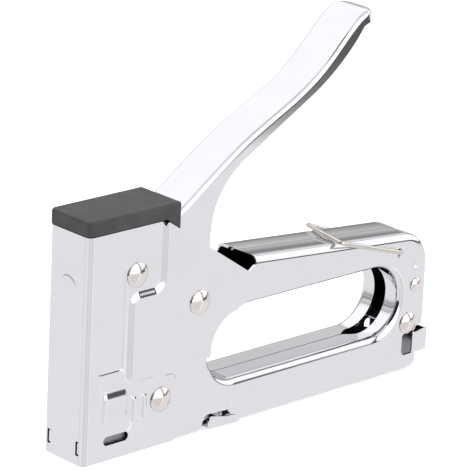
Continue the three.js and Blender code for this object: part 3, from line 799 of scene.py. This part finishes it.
def handle():
    """Pressed channel: a tray laid along the back line, with a rounded end, and side plates."""
    steps = 120
    back, length = spline(HANDLE_BACK, steps)
    edge, _ = spline(HANDLE_EDGE, steps)

    def on_back(u, y, drop):
        """u along the back line, y across, drop below it, all in mm."""
        k = min(max(u / length * steps, 0), steps - 1e-6)
        i = int(k)
        here = back[i].lerp(back[i + 1], k - i)
        along = (back[min(i + 2, steps)] - back[max(i - 1, 0)]).normalized()
        spot = here + Vector((along.y, -along.x)) * drop
        return Vector((spot.x, y, spot.y))

    skin = Skin()
    tip = length - HANDLE_TIP_R
    straight = [tip * k / steps for k in range(steps)]
    corners = [(0, -HANDLE_HALF), (length, -HANDLE_HALF, HANDLE_TIP_R),
               (length, HANDLE_HALF, HANDLE_TIP_R), (0, HANDLE_HALF)]
    plan = [Vector((u, -HANDLE_HALF)) for u in straight]
    plan += rounded(corners, closed=False)[1:-1]
    plan += [Vector((u, HANDLE_HALF)) for u in reversed(straight)]
    rim = []
    for p in plan:
        if p.x < tip:
            k = p.x / tip * steps
            i = min(int(k), steps - 1)
            spot = edge[i].lerp(edge[i + 1], k - i)
            rim.append(Vector((spot.x, p.y, spot.y)))
        else:
            rim.append(on_back(p.x, p.y, HANDLE_LIP))
    walls = [on_back(p.x, p.y, HANDLE_BEND) for p in plan]
    rows = []
    for k in range(WALL_STEPS + 1):
        rows.append([low.lerp(high, k / WALL_STEPS) for low, high in zip(rim, walls)])
    for k in range(1, BEND_STEPS + 1):
        angle = math.pi / 2 * k / BEND_STEPS
        row = offset(plan, HANDLE_BEND * (1 - math.cos(angle)), closed=False)
        rows.append([on_back(p.x, p.y, HANDLE_BEND * (1 - math.sin(angle))) for p in row])
    skin.rows(rows)
    flat = offset(plan, HANDLE_BEND, closed=False)
    across = 8
    for i in range(len(flat) // 2 - 1):
        a, b = flat[i], flat[i + 1]
        c, d = flat[len(flat) - 2 - i], flat[len(flat) - 1 - i]
        for k in range(across):
            spots = ((a, d, k), (b, c, k), (b, c, k + 1), (a, d, k + 1))
            corners = [first.lerp(second, n / across) for first, second, n in spots]
            skin.face([on_back(p.x, p.y, 0) for p in corners])

    for side in (-1, 1):
        y = side * HANDLE_HALF
        low = [Vector(HANDLE_BACK[0]), Vector(HANDLE_EDGE[0])]
        cheek = [low[0] + Vector((HANDLE_BEND, 0)), low[1], Vector((53.2, 50))]
        cheek += arc(EYE["at"], EYE["radius"], 20, -160)
        cheek.append(Vector((36.2, 50)))
        hole = arc(EYE["at"], 4.3, *FULL_TURN)
        skin.fill(cheek, [hole], lambda p: (p.x, y, p.y))
    core = (70, 0, 60)
    return sheet("handle_channel", skin, HANDLE_SHEET, core, "handle", "chrome", ["handle"], edge=0.16)


# ---- rivets, lock wire, latch, magazine ------------------------------------------------------

TURNED_SIDES = 64


def turned(name, profile, axis, body, slot, node):
    """A solid turned about a line along y through (x, z); profile is (radius, y) from end to end."""
    skin = Skin()
    rows = []
    for radius, y in profile:
        angles = [2 * math.pi * k / TURNED_SIDES for k in range(TURNED_SIDES)]
        rows.append([(axis[0] + radius * math.cos(t), y, axis[1] + radius * math.sin(t)) for t in angles])
    skin.rows(rows, closed=True)
    mesh = mesh_from(name, skin.points, skin.faces, (axis[0], 0, axis[1]), merge=False)
    return finish_mesh(name, mesh, body, slot, [node])


def rivet(node, axis, shank, head, seat, dome):
    """Domed head on each side, each with a low straight rim."""
    rim = 0.22
    rise = dome - rim
    ball = (head ** 2 + rise ** 2) / (2 * rise)
    opening = math.asin(head / ball)
    half = []
    for k in range(15):
        angle = opening * k / 14
        half.append((ball * math.sin(angle), seat + dome - ball + ball * math.cos(angle)))
    half += [(head, seat + 0.1), (head - 0.1, seat), (shank, seat)]
    profile = [(r, -y) for r, y in half] + list(reversed(half))
    return turned(node.replace("_rivet", "_domes"), profile, axis, "frame", "rivet", node)


def tube(name, route, radius, body, slot, node, sides=18):
    """Round wire along a route of drawing points, with rounded ends."""
    along = [(b - a).normalized() for a, b in zip(route, route[1:])]
    along.append(along[-1])
    aside = along[0].orthogonal().normalized()
    rows = []
    for i, here in enumerate(route):
        tangent = (along[max(i - 1, 0)] + along[i]).normalized()
        aside = (aside - tangent * aside.dot(tangent)).normalized()
        other = tangent.cross(aside)
        ring = []
        for k in range(sides):
            angle = 2 * math.pi * k / sides
            ring.append(here + radius * (aside * math.cos(angle) + other * math.sin(angle)))
        rows.append(ring)

    def end(ring, middle, outward):
        caps = []
        for k in range(1, 5):
            angle = math.pi / 2 * k / 4
            push = outward * radius * math.sin(angle)
            caps.append([middle + (p - middle) * math.cos(angle) + push for p in ring])
        return caps

    first = end(rows[0], route[0], -along[0])
    last = end(rows[-1], route[-1], along[-1])
    skin = Skin()
    skin.rows(list(reversed(first)) + rows + last, closed=True)
    mesh = mesh_from(name, skin.points, skin.faces, merge=False)
    return finish_mesh(name, mesh, body, slot, [node])


def bent_route(corners, reach, steps=7):
    """Straight runs between corners, each corner rounded over the given reach."""
    route = [corners[0]]
    for before, here, after in zip(corners, corners[1:], corners[2:]):
        start = here + (before - here).normalized() * reach
        end = here + (after - here).normalized() * reach
        for k in range(steps + 1):
            t = k / steps
            route.append(start * (1 - t) ** 2 + here * 2 * t * (1 - t) + end * t ** 2)
    route.append(corners[-1])
    return route


WIRE_R = 0.75
WIRE_END = 7.2                           # its hooked ends reach in to here
WIRE_BEND = 1.6


def lock_wire():
    corners = [
        (WIRE_PIVOT[0], -WIRE_END, WIRE_PIVOT[1]),
        (WIRE_PIVOT[0], -WIRE_HALF, WIRE_PIVOT[1]),
        (WIRE_NEAR[0], -WIRE_HALF, WIRE_NEAR[1]),
        (WIRE_FAR[0], WIRE_HALF, WIRE_FAR[1]),
        (WIRE_PIVOT[0], WIRE_HALF, WIRE_PIVOT[1]),
        (WIRE_PIVOT[0], WIRE_END, WIRE_PIVOT[1]),
    ]
    route = bent_route([Vector(c) for c in corners], WIRE_BEND)
    return tube("wire_bail", route, WIRE_R, "lock_wire", "wire", "lock_wire")


EAR_FRONT = 145.2
EAR_Z = (5.6, 14.1)
EAR_REAR_FROM = 149.5                    # from here to the rear the strip narrows
EAR_CORNER = 1.4


def latch():
    """Strip bent into a U round the rear end, with an ear on each side, and the block inside it."""
    skin = Skin()
    plan = rounded([
        (EAR_FRONT, -LATCH_HALF),
        (LATCH_REAR, -LATCH_HALF, EAR_CORNER),
        (LATCH_REAR, 0),
    ], closed=False)
    columns = []
    for p in plan:
        rear = min(max((p.x - EAR_REAR_FROM) / (LATCH_REAR - EAR_REAR_FROM), 0), 1)
        front = min(max((EAR_FRONT + EAR_CORNER - p.x) / EAR_CORNER, 0), 1)
        foot = EAR_Z[0] + 1.6 * rear ** 2 + 0.5 * front ** 2
        head = EAR_Z[1] - 0.5 * rear - 0.7 * front ** 2
        columns.append([(p.x, p.y, foot + (head - foot) * k / 6) for k in range(7)])
    for a, b in zip(columns, columns[1:]):
        skin.strip(a, b)
    skin.mirrored()
    ears = sheet(
        "latch_ears", skin, 0.85, (148, 0, 10), "loader", "chrome", ["loader_latch"],
        edge=0.2, bare_and_shaded_inside=True,
    )
    block("latch_block", (143.4, LATCH_REAR - 0.9), (-4.5, 4.5), (2, 11), "loader", "tool_steel")
    return ears


def block(name, x, y, z, body, slot, edge=0.25):
    corners = [(a, b, c) for a in x for b in y for c in z]
    faces = [(0, 1, 3, 2), (4, 5, 7, 6), (0, 1, 5, 4), (2, 3, 7, 6), (0, 2, 6, 4), (1, 3, 7, 5)]
    middle = (sum(x) / 2, sum(y) / 2, sum(z) / 2)
    return soften(finish_mesh(name, mesh_from(name, corners, faces, middle), body, slot), edge)


MAGAZINE_SHEET = 0.8
LIP_HALF = 10.7                          # half-width over the lips


def magazine():
    """Inverted U channel, with a lip bent out through each shell's notch."""
    skin = Skin()
    half, low, top, bend = 7.1, 1.0, 12.0, 0.9
    section = rounded([(-half, low), (-half, top, bend), (half, top, bend), (half, low)], closed=False)
    skin.rows([[(x, p.x, p.y) for p in section] for x in (4.2, 51.4, 60.4, 139.6)])
    piece = sheet(
        "magazine", skin, MAGAZINE_SHEET, (80, 0, 5), "frame", "chrome", ["magazine_channel"],
        bare_and_shaded_inside=True,
    )
    for side, word in ((-1, "left"), (1, "right")):
        lip = rounded([
            (51.3, 1.0, 0.5),
            (65.4, 0.5, 0.5),
            (65.9, 2.3, 0.5),
            (53.4, 4.9, 1.4),
            (51.7, 3.2, 1.0),
        ])
        tab = Skin()
        tab.fill(lip, [], lambda p: (p.x, side * LIP_HALF, p.y))
        sheet("lip_" + word, tab, MAGAZINE_SHEET, (58, 0, 2), "frame", "chrome", edge=0.3)
        ends = sorted((side * 6.4, side * (LIP_HALF - 0.5)))
        block("arm_" + word, (51.6, 60.4), ends, (1.05, 1.85), "frame", "chrome")
    return piece


def guide_tabs():
    """Tabs on the driver guide's cheeks that fill the nose's front windows."""
    for side, word in ((-1, "left"), (1, "right")):
        ends = sorted(side * y for y in GUIDE_TAB_Y)
        block("guide_tab_" + word, GUIDE_TAB_X, ends, GUIDE_TAB_Z, "frame", "chrome")


# ---- stage --------------------------------------------------------------------------------


CHROME_SHINE = 0.8
# Elevation in degrees and tone, for every direction that no lamp or screen covers.
FAR_SIDE = [
    (-90, 0.86), (-20, 0.88), (-6, 0.86), (0, 0.70), (5, 0.62), (8, 0.74), (10.5, 0.45), (13, 0.66),
    (16, 0.80), (20, 0.78), (24, 0.70), (28, 0.92), (34, 0.99), (60, 0.98), (75, 0.84), (90, 0.74),
]
# Azimuth range, elevation range, softness (degrees) and tone, laid over each other in this order.
LIGHTS = [
    (-108, -62, -44, -6, 5, 0.83),       # floor under the left lamp
    (-60, -51.5, -44, -6, 1.5, 0.95),    # floor between the lamps
    (-152, -118, -40, -9, 6, 0.82),      # floor in front of the photographer
    (-174, 22, -1, 64, 2, 0.30),         # dark room behind the lamps
    (-126, -54, -2, 60, 2, 1.12),        # left softbox, standing on the floor
    (-47, 16, 3, 58, 2, 1.0),            # right softbox, a little above the floor's end
    (-172, -127, -8, 52, 3, 0.16),       # the photographer
    (20, 66, -32, 3, 3, 0.68),           # end of the floor behind the tool
]


def tone(value):
    """How bright a surface must be for polished chrome to show it at this display value."""
    return ((value + 0.055) / 1.055) ** 2.4 / CHROME_SHINE


def studio():
    """White tent with a dark gap between its two lamps, and a bright floor below the horizon."""
    world = bpy.data.worlds.new("studio")
    bpy.context.scene.world = world
    world.use_nodes = True
    nodes = Nodes(world.node_tree)
    out = nodes.add("ShaderNodeOutputWorld")
    background = nodes.add("ShaderNodeBackground")
    nodes.link(background.outputs[0], out.inputs[0])
    direction = nodes.add("ShaderNodeTexCoord").outputs["Generated"]
    split = nodes.add("ShaderNodeSeparateXYZ")
    nodes.link(direction, split.inputs[0])
    x, y, z = split.outputs
    turn = nodes.math("ARCTAN2", x, nodes.math("MULTIPLY", y, -1))
    azimuth = nodes.math("MULTIPLY_ADD", turn, math.degrees(1), -90)
    elevation = nodes.math("MULTIPLY", nodes.math("ARCSINE", z), math.degrees(1))
    share = nodes.math("MULTIPLY_ADD", elevation, 1 / 180, 0.5)
    light = nodes.ramp(share, [(0.5 + el / 180, tone(value)) for el, value in FAR_SIDE])
    for left, right, low, high, soft, value in LIGHTS:
        mask = nodes.math("MULTIPLY", nodes.step(azimuth, left - soft, left + soft),
                          nodes.step(azimuth, right + soft, right - soft))
        mask = nodes.math("MULTIPLY", mask, nodes.step(elevation, low - soft, low + soft))
        mask = nodes.math("MULTIPLY", mask, nodes.step(elevation, high + soft, high - soft))
        change = nodes.math("SUBTRACT", tone(value), light)
        light = nodes.math("MULTIPLY_ADD", mask, change, light)
    nodes.link(light, background.inputs["Color"])


def floor():
    material, nodes, shader, coords = new_material("floor")
    tint = nodes.ramp(noise(nodes, coords, 3, 2), [(0.3, (0.90, 0.90, 0.90)), (0.7, (0.92, 0.92, 0.92))])
    nodes.link(tint, shader.inputs["Base Color"])
    shader.inputs["Roughness"].default_value = 0.9
    shader.inputs["Specular IOR Level"].default_value = 0.1
    shader.inputs["Emission Color"].default_value = (1, 1, 1, 1)
    shader.inputs["Emission Strength"].default_value = 0.5
    size = 6
    piece = plane("floor", [(-size, -size), (size, -size), (size, size), (-size, size)], material)
    piece.location.z = min(0, CAD_BOUNDS[0][2])
    piece.visible_glossy = False


def plane(name, corners, material):
    data = bpy.data.meshes.new(name)
    data.from_pydata([(x, y, 0) for x, y in corners], [], [tuple(range(len(corners)))])
    data.materials.append(material)
    piece = bpy.data.objects.new(name, data)
    bpy.context.scene.collection.objects.link(piece)
    return piece


def floor_end():
    """Where the white floor ends, to the right of the tool: only seen in the chrome."""
    material, nodes, shader, coords = new_material("room")
    reach = nodes.add("ShaderNodeVectorMath", operation="LENGTH")
    nodes.link(coords, reach.inputs[0])
    stops = [(0.30, 0.62), (0.33, 0.34), (0.38, 0.15), (0.45, 0.07), (0.6, 0.04)]
    nodes.link(nodes.ramp(reach.outputs["Value"], stops), shader.inputs["Base Color"])
    shader.inputs["Roughness"].default_value = 1
    near, far = 0.30, 4.0
    angles = [math.radians(a) for a in (-56, -48, -40, -32, -24)]
    corners = [(near * math.cos(a), near * math.sin(a)) for a in angles]
    corners += [(far * math.cos(a), far * math.sin(a)) for a in reversed(angles)]
    piece = plane("floor_end", corners, material)
    piece.location.z = 0.001
    piece.visible_camera = False
    piece.visible_diffuse = False
    piece.visible_shadow = False


def top_light():
    """Broad overhead lamp that whitens the floor; it isn't seen in the chrome."""
    data = bpy.data.lights.new("top_light", "SUN")
    data.energy = 1.5
    data.angle = math.radians(70)
    lamp = bpy.data.objects.new("top_light", data)
    bpy.context.scene.collection.objects.link(lamp)
    lamp.rotation_euler = (math.radians(8), math.radians(-10), 0)
    lamp.visible_glossy = False


bpy.context.scene.view_settings.view_transform = "Standard"
studio()
floor()
floor_end()
top_light()

front_housing()
body_shell("left_shell", -1, "left_body_shell")
body_shell("right_shell", 1, "right_body_shell")
top_cap()
handle()
magazine()
latch()
guide_tabs()
lock_wire()
rivet("pivot_rivet", PIVOT, 2.5, 4.15, PANEL_HALF + FIT, 1.6)
rivet("upper_head_rivet", (20, 59.6), 2, 4.15, NOSE_HALF + FIT, 1.6)
rivet("lower_head_rivet", (31.7, 15.6), 2, 4.15, NOSE_HALF + FIT, 1.6)
rivet("rear_upper_rivet", (146.1, 30.3), 1.2, 2.5, BODY_HALF + FIT, 1.1)
rivet("rear_lower_rivet", (143.4, 17.1), 1.9, 3.75, BODY_HALF + FIT, 1.5)

SLOTS = {row["node"]: row["material_slot"] for row in frame["record"]["subparts"]}
for node, piece in frame["nodes"].items():
    piece.data.materials.clear()
    piece.data.materials.append(MATERIALS[SLOTS[node]])
